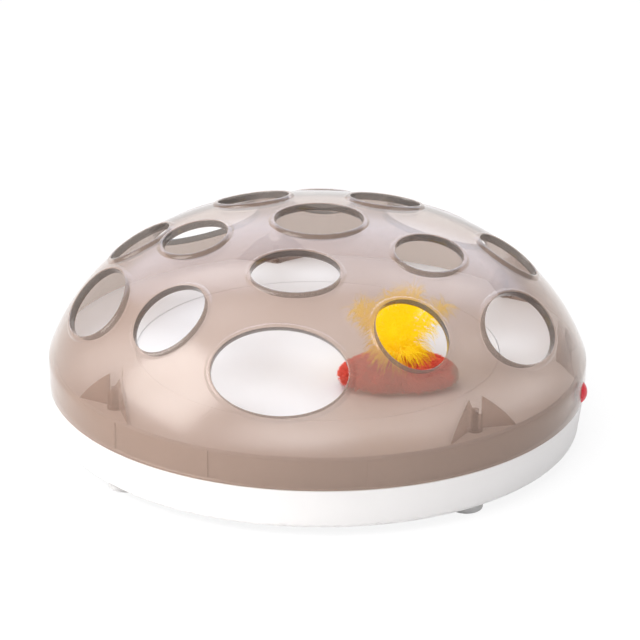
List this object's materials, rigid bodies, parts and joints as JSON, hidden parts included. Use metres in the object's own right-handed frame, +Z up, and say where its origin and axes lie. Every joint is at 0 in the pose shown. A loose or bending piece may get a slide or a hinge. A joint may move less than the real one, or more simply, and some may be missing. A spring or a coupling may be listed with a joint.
{
  "type": "electric turntable cat toy",
  "caption": "Battery cat toy: a smoked dome with paw holes over a motor-driven turntable that carries a plush and feather lure round inside.",
  "frame": {"origin": "on the floor, on the turntable's axis, under the middle of the base", "axes": "+Z up along the turntable's axis, -Y towards the largest paw hole at the front, +X towards the power button's side"},
  "size_m": [0.2517, 0.25, 0.1015],
  "materials": {
    "smoked_plastic": "clear smoked, polished",
    "white_plastic": "satin gloss",
    "coral_plush": "short pile plush",
    "yellow_feather": "marabou feather",
    "gear_nylon": "moulded",
    "pinion_brass": "machined",
    "bright_steel": "bright",
    "motor_steel": "zinc plated",
    "gearbox_plastic": "moulded",
    "cell_jacket": "printed jacket, plain colour",
    "board_laminate": "solder-masked",
    "switch_plastic": "moulded",
    "button_red": "gloss",
    "lead_red": "insulated wire",
    "lead_black": "insulated wire",
    "foot_rubber": "matte"
  },
  "bodies": {
    "base": {"base_tray": "white_plastic", "deck": "white_plastic", "dome_cover": "smoked_plastic", "motor": "motor_steel", "gearbox_housing": "gearbox_plastic", "gearbox_cover": "gearbox_plastic", "gear_pins": "bright_steel", "gearbox_screws": "bright_steel", "cover_screws": "bright_steel", "battery_cell_1": "cell_jacket", "battery_cell_2": "cell_jacket", "battery_cell_3": "cell_jacket", "contact_springs": "bright_steel", "contact_plates": "bright_steel", "circuit_board": "board_laminate", "power_switch": "switch_plastic", "battery_lead_red": "lead_red", "battery_lead_black": "lead_black", "motor_lead_red": "lead_red", "motor_lead_black": "lead_black", "foot_front_right": "foot_rubber", "foot_back_right": "foot_rubber", "foot_back_left": "foot_rubber", "foot_front_left": "foot_rubber"},
    "turntable": {"turntable": "white_plastic", "output_gear": "gear_nylon", "lure_plug": "white_plastic", "lure_pad": "coral_plush", "lure_feathers": "yellow_feather"},
    "second_gear": {"second_gear": "gear_nylon"},
    "first_gear": {"first_gear": "gear_nylon"},
    "motor_rotor": {"motor_shaft": "bright_steel", "motor_pinion": "pinion_brass"},
    "power_button": {"power_button": "button_red", "switch_plunger": "switch_plastic"},
    "battery_door": {"battery_door": "white_plastic", "door_screws": "bright_steel"}
  },
  "joints": [
    {"name": "turntable_spin", "type": "hinge", "parent": "base", "child": "turntable", "pos_m": [0, 0, 0.0363], "axis": [0, 0, 1], "continuous": true},
    {"name": "second_gear_spin", "type": "hinge", "parent": "base", "child": "second_gear", "pos_m": [-0.024, 0, 0.017], "axis": [0, 0, 1], "continuous": true},
    {"name": "first_gear_spin", "type": "hinge", "parent": "base", "child": "first_gear", "pos_m": [-0.03737, -0.01593, 0.021], "axis": [0, 0, 1], "continuous": true},
    {"name": "motor_spin", "type": "hinge", "parent": "base", "child": "motor_rotor", "pos_m": [-0.02737, -0.03325, 0.024], "axis": [0, 0, 1], "continuous": true},
    {"name": "power_button_press", "type": "slide", "parent": "base", "child": "power_button", "axis": [-0.9976, 0.0698, 0], "range_m": [0, 0.001], "stiffness_N_per_m": 800, "springref_m": -0.001},
    {"name": "battery_door_removal", "type": "slide", "parent": "base", "child": "battery_door", "axis": [0, 0, -1], "range_m": [0, 0.012]}
  ],
  "couplings": [
    {"joint": "second_gear_spin", "follows": "turntable_spin", "ratio": -4},
    {"joint": "first_gear_spin", "follows": "turntable_spin", "ratio": 13.333},
    {"joint": "motor_spin", "follows": "turntable_spin", "ratio": -53.333}
  ]
}
